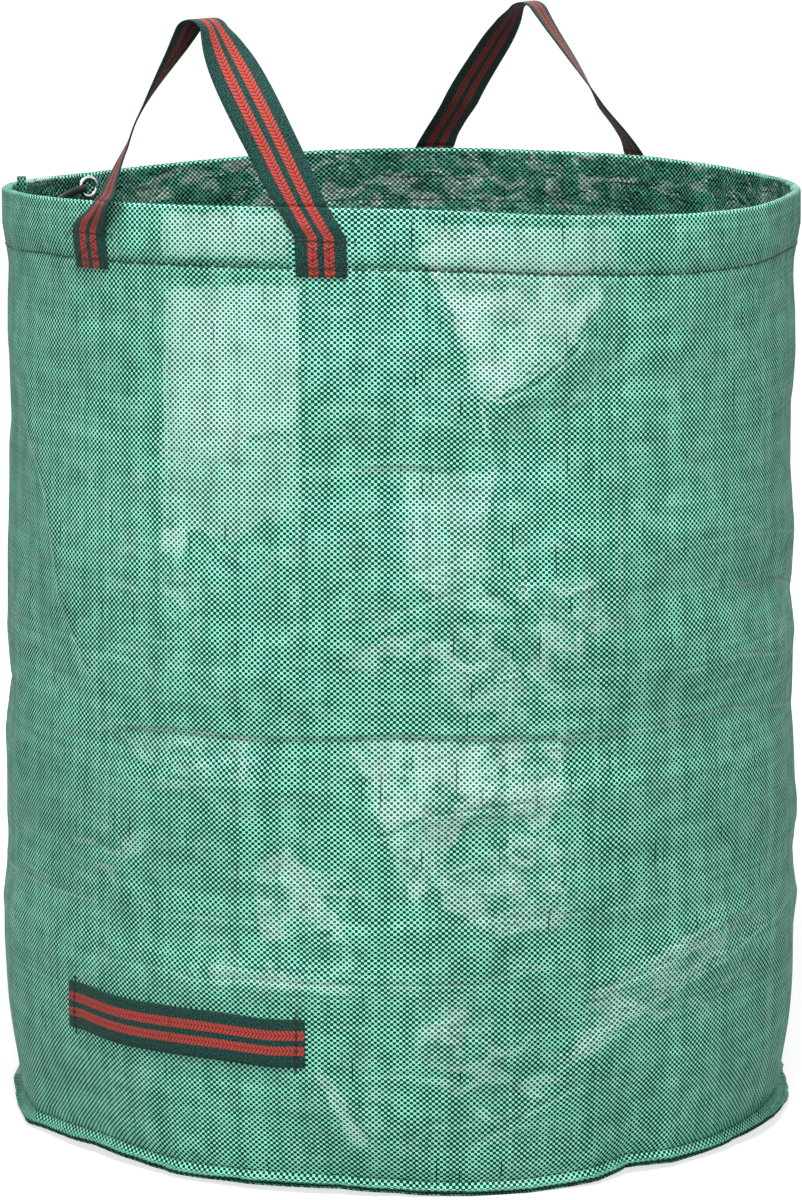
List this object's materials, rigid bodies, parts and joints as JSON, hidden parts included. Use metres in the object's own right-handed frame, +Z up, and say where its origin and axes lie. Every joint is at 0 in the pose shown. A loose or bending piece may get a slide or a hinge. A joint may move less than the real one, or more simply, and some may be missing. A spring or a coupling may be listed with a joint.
{
  "type": "hooped garden sack",
  "caption": "Round standing garden waste sack of woven tape cloth, with a hooped hem, webbing lifting handles and a low tipping handle.",
  "frame": {"origin": "centre of the base, at its underside", "axes": "+Z up; the front handle and the tipping handle are towards -Y"},
  "size_m": [0.688, 0.688, 0.936],
  "materials": {
    "cloth": "laminated woven tape, satin",
    "base_cloth": "laminated woven tape, satin",
    "webbing": "woven webbing, dark green with two red stripes",
    "hoop_plastic": "extruded band",
    "eyelet_metal": "nickel plated",
    "thread": "twisted polyester thread"
  },
  "bodies": {
    "base": {"base_panel": "base_cloth", "wall_panel": "cloth", "base_seam_thread": "thread", "side_seam_thread": "thread", "tip_handle_end_left": "webbing", "tip_handle_end_right": "webbing", "tip_handle_stitch_left": "thread", "tip_handle_stitch_right": "thread"},
    "rim": {"hem_band": "cloth", "hem_hoop": "hoop_plastic", "hem_thread": "thread", "eyelet_flange": "eyelet_metal", "eyelet_washer": "eyelet_metal", "front_handle_end_left": "webbing", "front_handle_end_right": "webbing", "front_handle_stitch_left": "thread", "front_handle_stitch_right": "thread", "rear_handle_end_left": "webbing", "rear_handle_end_right": "webbing", "rear_handle_stitch_left": "thread", "rear_handle_stitch_right": "thread"},
    "front_riser": {"front_handle_riser_left": "webbing", "front_handle_riser_right": "webbing"},
    "front_loop": {"front_handle_loop": "webbing"},
    "rear_riser": {"rear_handle_riser_left": "webbing", "rear_handle_riser_right": "webbing"},
    "rear_loop": {"rear_handle_loop": "webbing"},
    "tip_strap": {"tip_handle_strap": "webbing"}
  },
  "joints": [
    {"name": "collapse", "type": "slide", "parent": "base", "child": "rim", "axis": [0, 0, -1], "range_m": [0, 0.54], "deforming": ["wall_panel", "side_seam_thread"]},
    {"name": "front_drop", "type": "hinge", "parent": "rim", "child": "front_riser", "pos_m": [0, -0.32841, 0.7655], "axis": [1, 0, 0], "range_deg": [0, 165]},
    {"name": "front_fold_in", "type": "hinge", "parent": "front_riser", "child": "front_loop", "pos_m": [0, -0.31609, 0.789], "axis": [-1, 0, 0], "range_deg": [0, 95]},
    {"name": "rear_drop", "type": "hinge", "parent": "rim", "child": "rear_riser", "pos_m": [-0.04684, 0.32505, 0.7655], "axis": [-0.9898, -0.1426, 0], "range_deg": [0, 165]},
    {"name": "rear_fold_in", "type": "hinge", "parent": "rear_riser", "child": "rear_loop", "pos_m": [-0.04513, 0.31316, 0.789], "axis": [0.9898, 0.1426, 0], "range_deg": [0, 95]},
    {"name": "tip_lift", "type": "slide", "parent": "base", "child": "tip_strap", "axis": [-0.0698, -0.9976, 0], "range_m": [0, 0.025]}
  ]
}
